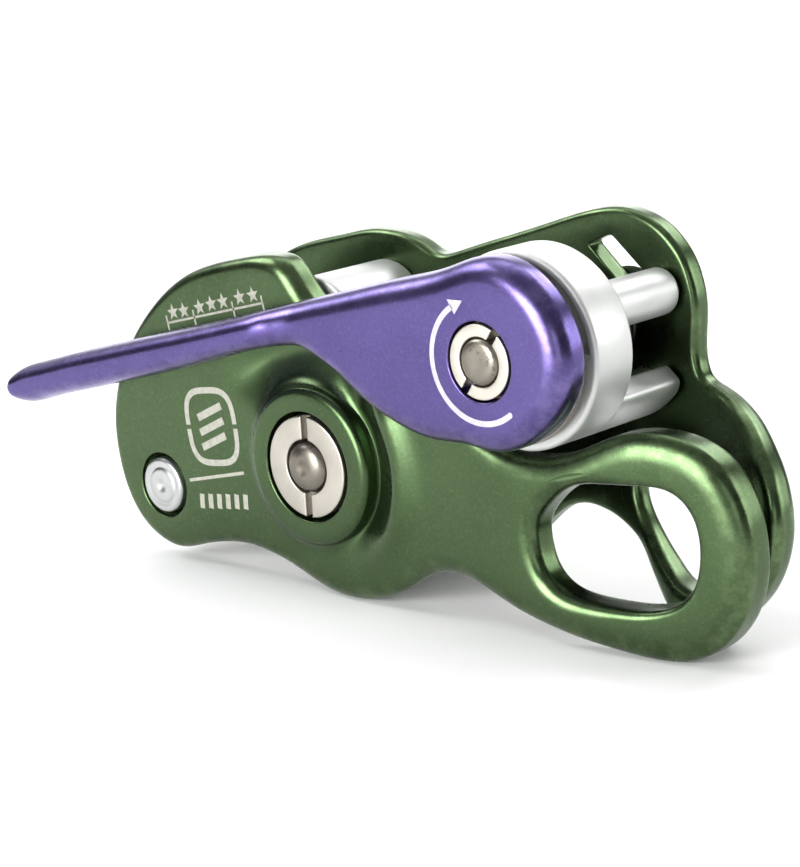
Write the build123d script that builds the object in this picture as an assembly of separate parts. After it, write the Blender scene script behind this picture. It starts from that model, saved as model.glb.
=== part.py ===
from build123d import *
import os
from math import cos, sin, radians, pi

os.makedirs("parts", exist_ok=True)

# ---------------------------------------------------------------- driving dimensions, mm
# X runs along the plates towards the carabiner eye, Y from the front plate to the back plate,
# Z up. The device stands on the bellies and eye lobes of its two plates.
SHIFT_X, SHIFT_Y = 8.87, -7.11          # brings the bounding box centre to the origin

AX, AZ = 18.45, 34.05                   # cam and lever axle
PX, PZ = -14.68, 16.40                  # plate pivot
GX, GZ = -17.40, 32.90                  # guide post of the braking strand
RX, RZ = -42.40, 9.85                   # catch rivet of the front plate

FRONT_T = 4.4                           # front plate thickness
FRONT_EYE_T = 5.0                       # front plate thickness at the eye
FRONT_BEND = 4.4                        # how far the front eye is set back
BACK_Y = 18.0                           # inner face of the back plate
BACK_T = 3.0                            # back plate thickness
BACK_EYE_T = 4.4                        # back plate thickness at the eye
BACK_EYE_Y = 9.9                        # inner face of the back eye
BACK_BEND_ANGLE = 33.0                  # direction of the back plate bend, degrees
BASE_Z = 22.25                          # height where the bend direction is measured from

DISC_R, DISC_T = 11.4, 6.5              # cam disc
NOTCH_R = 12.4                          # arc of the front plate around the cam disc
DRUM_IN = 8.3                           # inside of the drum wall
CAM_BACK = 17.6                         # back end of the cam
CAM_HUB_BACK = 13.3                     # back end of the cam hub, in front of its spring
AXLE_R, LEVER_JOURNAL_R = 4.0, 3.2
AXLE_NECK_R = 2.6                       # axle inside the cam spring and through the back plate
HUB_R, HUB_Y0, HUB_Y1 = 11.4, -6.3, -2.0
BOSS_R, BOSS_H = 9.8, 1.3
POST_R, JOURNAL_R = 6.5, 5.0
RING_R, PIN_R = 6.27, 3.25
NUT_R, NUT_PIN_R = 4.25, 2.75
RUN = 0.03                              # radial running clearance


# ---------------------------------------------------------------- helpers
def slab(face, y0, y1):
    """Extrude an outline drawn in (X, Z) from Y = y0 to Y = y1."""
    return Rot(90, 0, 0) * (Pos(0, 0, -y1) * extrude(face, y1 - y0))


def disc(x, z, r, y0, y1):
    return slab(Pos(x, z) * Circle(r), y0, y1)


def ring(x, z, r_out, r_in, y0, y1):
    return disc(x, z, r_out, y0, y1) - disc(x, z, r_in, y0 - 1, y1 + 1)


def outline(points):
    return make_face(Spline(*points, periodic=True))


def polar(r, deg, x=AX, z=AZ):
    return (x + r * cos(radians(deg)), z + r * sin(radians(deg)))


def dome(x, z, r, y, h):
    """Spherical cap of radius r and height h standing on plane Y = y towards -Y."""
    rs = (r * r + h * h) / (2 * h)
    ball = Pos(x, y - h + rs, z) * Sphere(rs)
    return ball & disc(x, z, r, y - h - 1, y)


def move(shape):
    return Pos(SHIFT_X, SHIFT_Y, 0) * shape


parts = {}


def write(name, shape, colour):
    solids = shape.solids() if hasattr(shape, "solids") else [shape]
    out = solids[0] if len(solids) == 1 else Compound(children=list(solids))
    out = move(out)
    out.label = name
    out.color = Color(*colour)
    parts[name] = out
    export_step(out, f"parts/{name}.step")


GREEN = (0.36, 0.46, 0.30)
PURPLE = (0.42, 0.36, 0.62)
STEEL = (0.86, 0.86, 0.85)
WARM = (0.78, 0.76, 0.71)
BRONZE = (0.62, 0.50, 0.33)
DARK = (0.35, 0.35, 0.36)

# ---------------------------------------------------------------- front plate
shared_left = [
    (-20.9, 41.35), (-25.7, 40.75), (-30.5, 39.65), (-35.6, 37.9), (-39.9, 35.4),
    (-43.2, 32.7), (-47.3, 28.1), (-50.4, 22.6), (-51.7, 17.6), (-51.55, 12.8),
    (-50.0, 7.6), (-47.6, 4.3), (-44.3, 2.25), (-40.8, 1.6), (-36.8, 2.55),
    (-32.9, 3.5), (-28.5, 4.0), (-24.2, 3.6), (-20.1, 2.4), (-16.5, 1.0),
    (-12.7, 0.1), (-9.0, 0.1),
]
front_points = shared_left + [
    (-5.3, 0.9), (-1.5, 2.6), (1.6, 4.6), (4.4, 5.8), (6.6, 6.05), (9.0, 5.75),
    (12.0, 4.75), (16.0, 3.2), (20.5, 1.95), (25.0, 1.05), (30.0, 0.35),
    (34.5, 0.0), (38.2, 0.5), (41.5, 2.3), (43.9, 5.2), (45.4, 9.0), (45.75, 13.0),
    (45.2, 17.0), (43.7, 20.7), (41.2, 23.7), (38.0, 25.3), (34.5, 25.9),
    (31.0, 25.6), (27.5, 24.3), (24.0, 22.7),
] + [polar(NOTCH_R, a) for a in (-79, -92, -106, -120, -134, -148, -160)] + [
    (5.3, 32.3), (1.8, 33.4), (-3.0, 33.2), (-8.5, 33.6), (-12.3, 35.0),
    (-15.3, 37.4), (-17.4, 39.9), (-18.9, 41.0),
]
front_hole = [
    (19.3, 14.0), (19.35, 10.9), (20.2, 8.6), (22.0, 6.9), (24.8, 6.0), (28.5, 5.65),
    (32.1, 5.65), (35.2, 6.2), (37.6, 7.4), (39.2, 9.4), (39.85, 11.8), (39.9, 14.6),
    (39.3, 17.0), (38.0, 18.8), (36.2, 19.8), (33.8, 20.05), (30.8, 19.9),
    (27.8, 19.7), (25.2, 19.3), (22.9, 18.2), (20.9, 16.4),
]


def side_profile(front_pts, rear_pts):
    """Closed side view in (u, Y): one smooth front curve, one smooth rear curve."""
    a0, a1 = front_pts[0], front_pts[-1]
    b0, b1 = rear_pts[0], rear_pts[-1]
    edges = [
        Line((-90, a0[1]), a0), Spline(*front_pts, tangents=[(1, 0), (1, 0)]),
        Line(a1, (90, a1[1])), Line((90, a1[1]), (90, b1[1])), Line((90, b1[1]), b1),
        Spline(*rear_pts, tangents=[(1, 0), (1, 0)]), Line(b0, (-90, b0[1])),
        Line((-90, b0[1]), (-90, a0[1])),
    ]
    return make_face(Curve() + edges)


e = FRONT_BEND
t0, t1 = FRONT_T, FRONT_EYE_T
front_side = side_profile(
    [(14, 0), (22, 0.12 * e), (30, 0.38 * e), (38, 0.72 * e), (48, e)],
    [(14, t0), (22, t0 + 0.12 * e), (30, t0 + 0.3 + 0.38 * e), (38, t1 - 0.1 + 0.72 * e), (48, t1 + e)],
)
front_slab = Pos(0, 0, -20) * extrude(front_side, 90)
front_plate = slab(outline(front_points), -5, 15) & front_slab
front_plate = front_plate - slab(outline(front_hole), -5, 15)
try:
    rim = front_plate.edges().filter_by(lambda ed: ed.length > 25)
    soft = fillet(rim, 1.0)
    if soft.is_valid and soft.volume > 0.8 * front_plate.volume:
        front_plate = soft
except Exception as err:
    print("front plate left with crisp rims:", err)
front_plate += disc(PX, PZ, BOSS_R, -BOSS_H, 1.0)
front_plate -= disc(PX, PZ, 6.8, -5, 0.8)
front_plate -= disc(PX, PZ, 5.9, -5, 15)
front_plate -= disc(RX, RZ, 4.2, -5, 0.8)
front_plate -= disc(RX, RZ, 1.8, -5, 15)
write("front_plate", front_plate, GREEN)

write("pivot_bush", ring(PX, PZ, 5.9, JOURNAL_R + RUN, 0.8, 4.4), BRONZE)
catch = disc(RX, RZ, 3.6, -0.35, 0.8) + disc(RX, RZ, 1.8, 0.8, 4.4) + disc(RX, RZ, 1.8, 4.4, 6.4)
write("catch_rivet", catch, STEEL)
catch_post = ring(RX, RZ, 3.2, 1.8, 4.4, 6.4) + disc(RX, RZ, 3.2, 6.4, CAM_BACK)
write("catch_post", catch_post, STEEL)

# ---------------------------------------------------------------- back plate
back_points = shared_left[1:] + [
    (-5.3, 0.9), (-1.8, 2.3), (2.0, 4.3), (4.8, 6.5), (7.2, 8.7), (8.8, 9.9),
    (10.8, 10.85), (12.8, 11.2), (14.8, 10.95), (17.8, 10.0), (20.4, 8.6),
    (22.8, 6.8), (25.5, 4.5), (28.3, 2.5), (31.1, 0.9), (34.2, 0.2), (37.3, 1.4),
    (40.5, 4.0), (43.1, 6.8), (44.7, 9.7), (45.55, 12.7), (45.7, 15.8), (44.9, 18.8),
    (43.3, 21.5), (40.9, 24.0), (37.8, 26.0), (34.6, 27.25), (32.2, 27.9),
    (30.4, 28.7), (29.6, 30.4), (29.5, 33.6), (29.6, 37.1), (29.1, 39.6),
    (28.1, 42.0), (26.6, 44.0), (24.7, 45.6), (22.4, 46.7), (19.7, 47.3),
    (17.0, 47.2), (13.7, 46.5), (8.3, 44.8), (2.0, 42.8), (-4.4, 40.8),
    (-7.2, 39.9), (-8.8, 39.6), (-10.4, 39.9), (-12.3, 40.8), (-14.9, 41.6),
    (-17.8, 41.9), (-21.1, 41.75),
]
back_hole = [
    (20.7, 14.7), (21.1, 12.6), (22.3, 10.7), (24.2, 9.0), (26.6, 7.4), (29.3, 6.0),
    (32.2, 5.4), (35.2, 5.9), (37.7, 7.3), (39.3, 9.4), (40.1, 12.0), (40.2, 14.7),
    (39.6, 17.2), (38.2, 19.0), (36.2, 20.1), (33.8, 20.4), (30.8, 20.2),
    (27.8, 19.9), (25.2, 19.4), (23.1, 18.3), (21.4, 16.7),
]
d = BACK_Y - BACK_EYE_Y
t0, t1 = BACK_T, BACK_EYE_T
back_side = side_profile(
    [(19.5, BACK_Y), (24, BACK_Y - 0.09 * d), (30, BACK_Y - 0.42 * d), (36, BACK_Y - 0.78 * d), (44, BACK_EYE_Y)],
    [(19.5, BACK_Y + t0), (24, BACK_Y + t0 + 0.1 - 0.09 * d), (30, BACK_Y + t0 + 0.8 - 0.42 * d),
     (36, BACK_Y + t1 - 0.1 - 0.78 * d), (44, BACK_EYE_Y + t1)],
)
back_slab = Pos(0, 0, BASE_Z) * Rot(0, BACK_BEND_ANGLE, 0) * Pos(0, 0, -60) * extrude(back_side, 120)
back_plate = slab(outline(back_points), 2, 30) & back_slab
back_plate = back_plate - slab(outline(back_hole), 2, 30)
try:
    rim = back_plate.edges().filter_by(lambda ed: ed.length > 25)
    soft = fillet(rim, 0.8)
    if soft.is_valid and soft.volume > 0.8 * back_plate.volume:
        back_plate = soft
except Exception as err:
    print("back plate left with crisp rims:", err)
spring_slot = make_face(Polyline((14.4, 42.8), (17.8, 44.2), (23.4, 39.4), (20.0, 37.6), close=True))
back_plate -= slab(spring_slot, 15, 24)
STOP_X, STOP_Z = polar(6.8, -58)
for x, z, r in [(PX, PZ, 4.5), (AX, AZ, AXLE_NECK_R), (GX, GZ, 2.0), (STOP_X, STOP_Z, 1.1)]:
    back_plate -= disc(x, z, r, 15, 24)
write("back_plate", back_plate, GREEN)

# ---------------------------------------------------------------- plate pivot
BY = BACK_Y + BACK_T
post = disc(PX, PZ, POST_R, 4.75, BACK_Y) + disc(PX, PZ, JOURNAL_R, 0.5, 4.75) + disc(PX, PZ, 4.5, BACK_Y, BY)
write("pivot_post", post, STEEL)
pivot_ring = ring(PX, PZ, RING_R, PIN_R, -BOSS_H, 0.2)
for s in (1, -1):
    pivot_ring -= Pos(PX, -BOSS_H, PZ + s * 5.0) * Box(1.0, 1.2, 3.6)
write("pivot_ring", pivot_ring, WARM)
write("pivot_pin", disc(PX, PZ, PIN_R, -BOSS_H, 0.5) + dome(PX, PZ, PIN_R - 0.25, -BOSS_H, 0.75), STEEL)
write("wave_washer", ring(PX, PZ, 6.1, PIN_R + 0.05, 0.2, 0.5), STEEL)
rear_head = dome(PX, PZ, 6.6, 0, 1.3)
write("pivot_rear_head", Pos(0, BY, 0) * (Pos(PX, 0, PZ) * Rot(0, 0, 180) * Pos(-PX, 0, -PZ) * rear_head), STEEL)

# ---------------------------------------------------------------- guide post
write("guide_post", disc(GX, GZ, 5.5, 4.85, BACK_Y), STEEL)
guide_head = dome(GX, GZ, 3.4, 0, 1.0)
guide_rivet = disc(GX, GZ, 2.0, BACK_Y, BY) + Pos(0, BY, 0) * (Pos(GX, 0, GZ) * Rot(0, 0, 180) * Pos(-GX, 0, -GZ) * guide_head)
write("guide_rivet", guide_rivet, STEEL)

# ---------------------------------------------------------------- axle of cam and lever
axle = (
    disc(AX, AZ, AXLE_R, -0.4, CAM_HUB_BACK + 0.3) + disc(AX, AZ, LEVER_JOURNAL_R, -4.4, -0.4)
    + disc(AX, AZ, AXLE_NECK_R, CAM_HUB_BACK + 0.3, BY)
)
write("cam_axle", axle, STEEL)
axle_nut = ring(AX, AZ, NUT_R, NUT_PIN_R, HUB_Y0, -4.4)
for s in (1, -1):
    x, z = polar(3.6 * s, 56)
    axle_nut -= Pos(x, HUB_Y0, z) * Rot(0, -56, 0) * Box(2.4, 1.4, 0.9)
write("axle_nut", axle_nut, WARM)
write("axle_pin", disc(AX, AZ, NUT_PIN_R, HUB_Y0, -4.4) + dome(AX, AZ, NUT_PIN_R - 0.2, HUB_Y0, 0.6), STEEL)
axle_rear = dome(AX, AZ, 6.0, 0, 1.3)
write("axle_rear_head", Pos(0, BY, 0) * (Pos(AX, 0, AZ) * Rot(0, 0, 180) * Pos(-AX, 0, -AZ) * axle_rear), STEEL)
write("cam_stop_pin", disc(STOP_X, STOP_Z, 1.1, 10.5, BY), STEEL)

# ---------------------------------------------------------------- cam
cam = disc(AX, AZ, DISC_R, 0, DISC_T)
cam += disc(AX, AZ, 5.2, DISC_T, CAM_HUB_BACK)
px, pz = polar(8.1, 32.4)
cam += disc(px, pz, 2.75, DISC_T - 0.5, CAM_BACK)
wall_pts = [polar(DISC_R, a) for a in range(-36, -126, -10)]
nose = [polar(11.5, -126), polar(12.5, 222), polar(16.2, 208), polar(19.6, 194), polar(22.0, 181),
        polar(22.2, 173), polar(20.0, 166), polar(15.0, 160), polar(11.0, 152), polar(9.0, 140)]
inner = [polar(DRUM_IN, a) for a in (150, 165, 180, 195, 210, 225, 240, 255, 270, 285, 300, 315, 331)]
tail = [(AX + 9.3, AZ - 5.75)]
wall = make_face(Polyline(*(wall_pts + nose + inner + tail), close=True))
cam += slab(wall, DISC_T - 0.5, CAM_BACK)
rib = make_face(Polyline(polar(4.9, 252), polar(8.6, 252), polar(8.6, 262), polar(4.9, 262), close=True))
cam += slab(rib, 9.5, CAM_HUB_BACK)
cam -= disc(AX, AZ, 4.6, -1, 20)
LUG_R, LUG_A = 9.0, 150.0
slot_pts_out = [polar(LUG_R + 1.45, a) for a in range(int(LUG_A) + 12, int(LUG_A) - 150, -6)]
slot_pts_in = [polar(LUG_R - 1.45, a) for a in range(int(LUG_A) - 144, int(LUG_A) + 13, 6)]
slot_face = make_face(Polyline(*(slot_pts_out + slot_pts_in), close=True))
cam -= slab(slot_face, -1, 2.2)
write("cam", cam, STEEL)
cam_bush = ring(AX, AZ, 4.6, AXLE_R + RUN, 0.0, CAM_HUB_BACK)
write("cam_bush", cam_bush, BRONZE)

# ---------------------------------------------------------------- lever
lever_points = [
    polar(11.7, 20), polar(11.6, 45), polar(11.6, 70), polar(11.4, 92), (12.9, 43.85),
    (4.9, 41.75), (-2.0, 40.0), (-8.9, 38.2), (-18.0, 35.75), (-27.7, 33.25), (-36.0, 31.2),
    (-43.5, 29.3), (-51.5, 27.25), (-57.3, 25.65), (-60.9, 24.55), (-62.9, 23.2),
    (-63.5, 21.7), (-62.5, 20.4), (-60.2, 19.95), (-56.5, 20.85), (-50.4, 22.5), (-43.0, 24.4),
    (-34.6, 26.6), (-24.7, 29.4), (-17.5, 31.4), (-13.4, 32.2), (-10.3, 32.2),
    (-7.5, 31.1), (-4.5, 29.6), (-1.6, 27.7), (1.7, 25.9), (5.2, 24.6), (9.0, 23.8),
    polar(10.9, -110), polar(10.5, -90), polar(10.35, -68), polar(10.35, -45), polar(10.9, -24), polar(11.5, -4),
]
lever_flat = slab(outline(lever_points), -9, 0)
lever_side = make_face(Polyline(
    (-80, -8.2), (-40, -7.9), (-20, -7.0), (-4, HUB_Y0), (40, HUB_Y0), (40, HUB_Y1),
    (-4, HUB_Y1), (-20, -1.9), (-40, -1.6), (-80, -1.6), close=True))
lever = lever_flat & (Pos(0, 0, -20) * extrude(lever_side, 90))
lever -= disc(AX, AZ, 4.5, -10, -4.1)
lever -= disc(AX, AZ, 4.4, -10, 0)
lever -= ring(AX, AZ, 7.2, 5.0, -4.6, 0)
lug_x, lug_z = polar(LUG_R, LUG_A)
lever -= disc(lug_x, lug_z, 1.2, -4.4, 0)
write("lever", lever, PURPLE)
write("lever_bush", ring(AX, AZ, 4.4, LEVER_JOURNAL_R + RUN, -4.1, -0.7), BRONZE)
write("lever_lug", disc(lug_x, lug_z, 1.2, -4.4, 1.8), STEEL)
spacer = ring(AX, AZ, 10.4, 4.4, -1.5, -0.8) - disc(lug_x, lug_z, 1.2, -3, 1)
write("spacer_washer", spacer, WARM)

# ---------------------------------------------------------------- springs
def coil(r, wire, y0, pitch, turns):
    path = Helix(pitch=pitch, height=pitch * turns, radius=r)
    section = Plane(origin=path @ 0, z_dir=path % 0) * Circle(wire / 2)
    body = sweep(section, path=path, is_frenet=True)
    return Pos(AX, y0, AZ) * (Rot(-90, 0, 0) * body)


write("cam_spring", coil(3.2, 0.7, 14.2, 0.9, 3.3), DARK)
write("lever_spring", coil(6.1, 0.8, -3.9, 0.95, 1.6), DARK)

box = Compound(children=list(parts.values())).bounding_box()
print("box", box.min, box.max)
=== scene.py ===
import bpy, bmesh, math
import numpy as np
from mathutils import Matrix, Vector
from mathutils.geometry import delaunay_2d_cdt


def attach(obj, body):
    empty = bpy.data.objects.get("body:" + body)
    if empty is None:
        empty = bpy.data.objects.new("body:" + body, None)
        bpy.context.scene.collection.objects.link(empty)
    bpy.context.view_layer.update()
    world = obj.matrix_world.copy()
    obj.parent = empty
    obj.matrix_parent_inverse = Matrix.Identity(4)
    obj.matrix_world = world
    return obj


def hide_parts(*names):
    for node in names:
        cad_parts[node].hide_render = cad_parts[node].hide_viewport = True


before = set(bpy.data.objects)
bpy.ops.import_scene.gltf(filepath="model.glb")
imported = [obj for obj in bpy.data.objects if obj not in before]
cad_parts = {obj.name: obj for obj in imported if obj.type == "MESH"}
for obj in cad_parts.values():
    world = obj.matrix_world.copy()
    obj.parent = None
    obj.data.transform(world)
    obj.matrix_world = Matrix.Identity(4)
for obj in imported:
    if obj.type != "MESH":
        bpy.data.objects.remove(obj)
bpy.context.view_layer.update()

# ------------------------------------------------------------------ the part's own dimensions, mm
SX, SY = 8.87, -7.11
AX, AZ = 18.45, 34.05        # cam and lever axle
PX, PZ = -14.68, 16.40       # plate pivot
GX, GZ = -17.40, 32.90       # guide post
RX, RZ = -42.40, 9.85        # catch rivet
NOTCH_R, HUB_R, DISC_R, DRUM_IN = 12.4, 11.4, 11.4, 8.3


def polar(r, deg, x=AX, z=AZ):
    return (x + r * math.cos(math.radians(deg)), z + r * math.sin(math.radians(deg)))


def smooth(t):
    t = np.clip(t, 0.0, 1.0)
    return t * t * (3 - 2 * t)


# ------------------------------------------------------------------ outlines
def hermite_chain(P, closed=True, fine=0.12):
    """C2 cubic spline through the points, as a dense polyline."""
    P = np.asarray(P, float)
    n = len(P)
    h = np.linalg.norm(np.roll(P, -1, 0) - P, axis=1)
    A = np.zeros((n, n)); B = np.zeros((n, P.shape[1]))
    for i in range(n):
        hm, hp = h[i - 1], h[i]
        A[i, (i - 1) % n] += 1 / hm
        A[i, i] += 2 / hm + 2 / hp
        A[i, (i + 1) % n] += 1 / hp
        B[i] = 3 * ((P[i] - P[i - 1]) / hm ** 2 + (P[(i + 1) % n] - P[i]) / hp ** 2)
    T = np.linalg.solve(A, B)
    out = []
    for i in range(n):
        j = (i + 1) % n
        m = max(2, int(math.ceil(h[i] / fine)))
        t = (np.arange(m) / m)[:, None]
        out.append((2 * t ** 3 - 3 * t ** 2 + 1) * P[i] + (t ** 3 - 2 * t ** 2 + t) * h[i] * T[i]
                   + (-2 * t ** 3 + 3 * t ** 2) * P[j] + (t ** 3 - t ** 2) * h[i] * T[j])
    return np.concatenate(out)


def resample(P, step=None, n=None):
    P = np.asarray(P, float)
    Q = np.vstack([P, P[:1]])
    s = np.concatenate([[0], np.cumsum(np.linalg.norm(np.diff(Q, axis=0), axis=1))])
    if n is None:
        n = max(12, int(round(s[-1] / step)))
    u = np.linspace(0, s[-1], n, endpoint=False)
    return np.stack([np.interp(u, s, Q[:, 0]), np.interp(u, s, Q[:, 1])], 1)


def area(P):
    x, z = P[:, 0], P[:, 1]
    return 0.5 * np.sum(x * np.roll(z, -1) - z * np.roll(x, -1))


def ccw(P):
    return P if area(P) > 0 else P[::-1].copy()


def spline_loop(pts, step=0.5):
    return ccw(resample(hermite_chain(pts), step))


def poly_loop(pts, step=0.4, fillet=0.0):
    """Straight-sided loop, its corners rounded by averaging along the path."""
    P = ccw(resample(np.asarray(pts, float), step))
    if fillet > 0:
        k = max(1, int(round(fillet / step)))
        for _ in range(3):
            P = sum(np.roll(P, i, 0) for i in range(-k, k + 1)) / (2 * k + 1)
    return P


def circle_loop(x, z, r, n=144):
    a = np.arange(n) * 2 * math.pi / n
    return np.stack([x + r * np.cos(a), z + r * np.sin(a)], 1)


def inside(Q, poly):
    """Even-odd test of many points against one polygon."""
    x, z = Q[:, 0], Q[:, 1]
    out = np.zeros(len(Q), bool)
    x1, z1 = poly[:, 0], poly[:, 1]
    x2, z2 = np.roll(x1, -1), np.roll(z1, -1)
    for a, b, c, d in zip(x1, z1, x2, z2):
        if b == d:
            continue
        hit = ((b > z) != (d > z)) & (x < (c - a) * (z - b) / (d - b) + a)
        out ^= hit
    return out


def normals_into(P, material_left=True):
    t = np.roll(P, -1, 0) - np.roll(P, 1, 0)
    t /= np.linalg.norm(t, axis=1)[:, None]
    n = np.stack([-t[:, 1], t[:, 0]], 1)
    return n if material_left else -n


def limit_radius(P, r, material_left=True):
    """Rounding radius along a loop, kept under the outline's own radius where it is tight."""
    n = len(P)
    a = np.roll(P, -2, 0) - P
    b = P - np.roll(P, 2, 0)
    cross = b[:, 0] * a[:, 1] - b[:, 1] * a[:, 0]
    la, lb = np.linalg.norm(a, axis=1), np.linalg.norm(b, axis=1)
    k = cross / (la * lb) / (0.5 * (la + lb))
    if not material_left:
        k = -k
    lim = np.where(k > 1e-3, 0.8 / np.maximum(k, 1e-3), 99.0)
    lim = np.minimum.reduce([np.roll(lim, i) for i in range(-3, 4)])
    r = np.minimum(np.broadcast_to(r, (n,)).astype(float), lim)
    for _ in range(6):
        r = np.minimum(r, (np.roll(r, 1) + r + np.roll(r, -1)) / 3)
    return r


class Builder:
    def __init__(self):
        self.v, self.f, self.edge = [], [], []

    def add(self, P, edge=0.0):
        i0 = len(self.v)
        P = np.asarray(P, float)
        self.v.extend(map(tuple, P))
        e = np.broadcast_to(edge, (len(P),))
        self.edge.extend(float(t) for t in e)
        return np.arange(i0, i0 + len(P))

    def strip(self, A, B, flip=False):
        n = len(A)
        for i in range(n):
            j = (i + 1) % n
            q = (A[i], A[j], B[j], B[i])
            self.f.append(q[::-1] if flip else q)

    def fan(self, ring, centre, flip=False):
        n = len(ring)
        for i in range(n):
            t = (ring[i], ring[(i + 1) % n], centre)
            self.f.append(t[::-1] if flip else t)

    def cap(self, loops, heights, fun, grid=1.1, extra=(), flip=False, holes=()):
        """Fill between index loops (first one outer) with triangles; fun(x, z) gives Y of new points."""
        V = np.array(self.v)
        pts, edges, owner = [], [], []
        polys = []
        for L in loops:
            P = V[L][:, [0, 2]]
            polys.append(P)
            i0 = len(pts)
            pts.extend(map(tuple, P)); owner.extend(L)
            n = len(P)
            edges.extend((i0 + i, i0 + (i + 1) % n) for i in range(n))
        outer = polys[0]
        lo, hi = outer.min(0), outer.max(0)
        gx = np.arange(lo[0], hi[0], grid)
        gz = np.arange(lo[1], hi[1], grid * 0.866)
        G = []
        for j, z in enumerate(gz):
            for x in gx:
                G.append((x + (0.5 * grid if j % 2 else 0.0), z))
        G = np.array(G) if G else np.zeros((0, 2))
        E = [np.asarray(R, float) for R in extra]
        keep = inside(G, outer)
        for P in polys[1:]:
            keep &= ~inside(G, P)
        G = G[keep]
        allb = np.vstack(polys + E) if E else np.vstack(polys)
        if len(G):
            d = np.full(len(G), 1e9)
            for k in range(0, len(allb), 400):
                dd = np.min(np.linalg.norm(G[:, None] - allb[None, k:k + 400], axis=2), axis=1)
                d = np.minimum(d, dd)
            G = G[d > 0.55 * grid]
        for R in E:
            ok = inside(R, outer)
            for P in polys[1:]:
                ok &= ~inside(R, P)
            near = np.vstack(polys)
            dd = np.array([np.min(np.linalg.norm(near - q, axis=1)) for q in R])
            ok &= dd > 0.22
            idx = {}
            for i, q in enumerate(R):
                if ok[i]:
                    idx[i] = len(pts); pts.append(tuple(q)); owner.append(-1)
            for i in range(len(R)):
                j = (i + 1) % len(R)
                if i in idx and j in idx:
                    edges.append((idx[i], idx[j]))
        for q in G:
            pts.append(tuple(q)); owner.append(-1)
        res = delaunay_2d_cdt([Vector(p) for p in pts], edges, [], 0, 1e-7)
        ov, faces, orig = res[0], res[2], res[3]
        O = np.array([(p.x, p.y) for p in ov])
        F = np.array([list(t) for t in faces if len(t) == 3])
        c = O[F].mean(1)
        keep = inside(c, outer)
        for P in polys[1:]:
            keep &= ~inside(c, P)
        F = F[keep]
        a, b_, d_ = O[F[:, 0]], O[F[:, 1]], O[F[:, 2]]
        ar = 0.5 * ((b_[:, 0] - a[:, 0]) * (d_[:, 1] - a[:, 1]) - (b_[:, 1] - a[:, 1]) * (d_[:, 0] - a[:, 0]))
        F[ar < 0] = F[ar < 0][:, ::-1]
        F = F[np.abs(ar) > 1e-9]
        used = sorted(set(F.ravel().tolist()))
        mp, new, new_i = {}, [], []
        for u in used:
            o = [owner[k] for k in orig[u] if owner[k] >= 0]
            if o:
                mp[u] = o[0]
            else:
                new_i.append(u); new.append(O[u])
        if new:
            N = np.array(new)
            Y = fun(N[:, 0], N[:, 1])
            ids = self.add(np.stack([N[:, 0], Y, N[:, 1]], 1), 0.0)
            mp.update(zip(new_i, ids))
        for t in F:
            q = (mp[t[0]], mp[t[1]], mp[t[2]])
            if len(set(q)) == 3:
                self.f.append(q if not flip else q[::-1])

    def mesh(self, name, mat, sharp=None):
        me = bpy.data.meshes.new(name)
        V = (np.array(self.v) + np.array([SX, SY, 0.0])) * 0.001
        me.from_pydata([tuple(p) for p in V], [], [tuple(int(i) for i in f) for f in self.f])
        me.validate(verbose=False)
        at = me.attributes.new("edge", "FLOAT", "POINT")
        at.data.foreach_set("value", np.array(self.edge, np.float32)[: len(me.vertices)])
        bm = bmesh.new(); bm.from_mesh(me)
        bmesh.ops.recalc_face_normals(bm, faces=bm.faces)
        bm.to_mesh(me); bm.free()
        me.materials.append(mat)
        me.polygons.foreach_set("use_smooth", [True] * len(me.polygons))
        ob = bpy.data.objects.new(name, me)
        bpy.context.scene.collection.objects.link(ob)
        if sharp is not None:
            bpy.context.view_layer.update()
            me.set_sharp_from_angle(angle=math.radians(sharp))
        return ob


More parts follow.
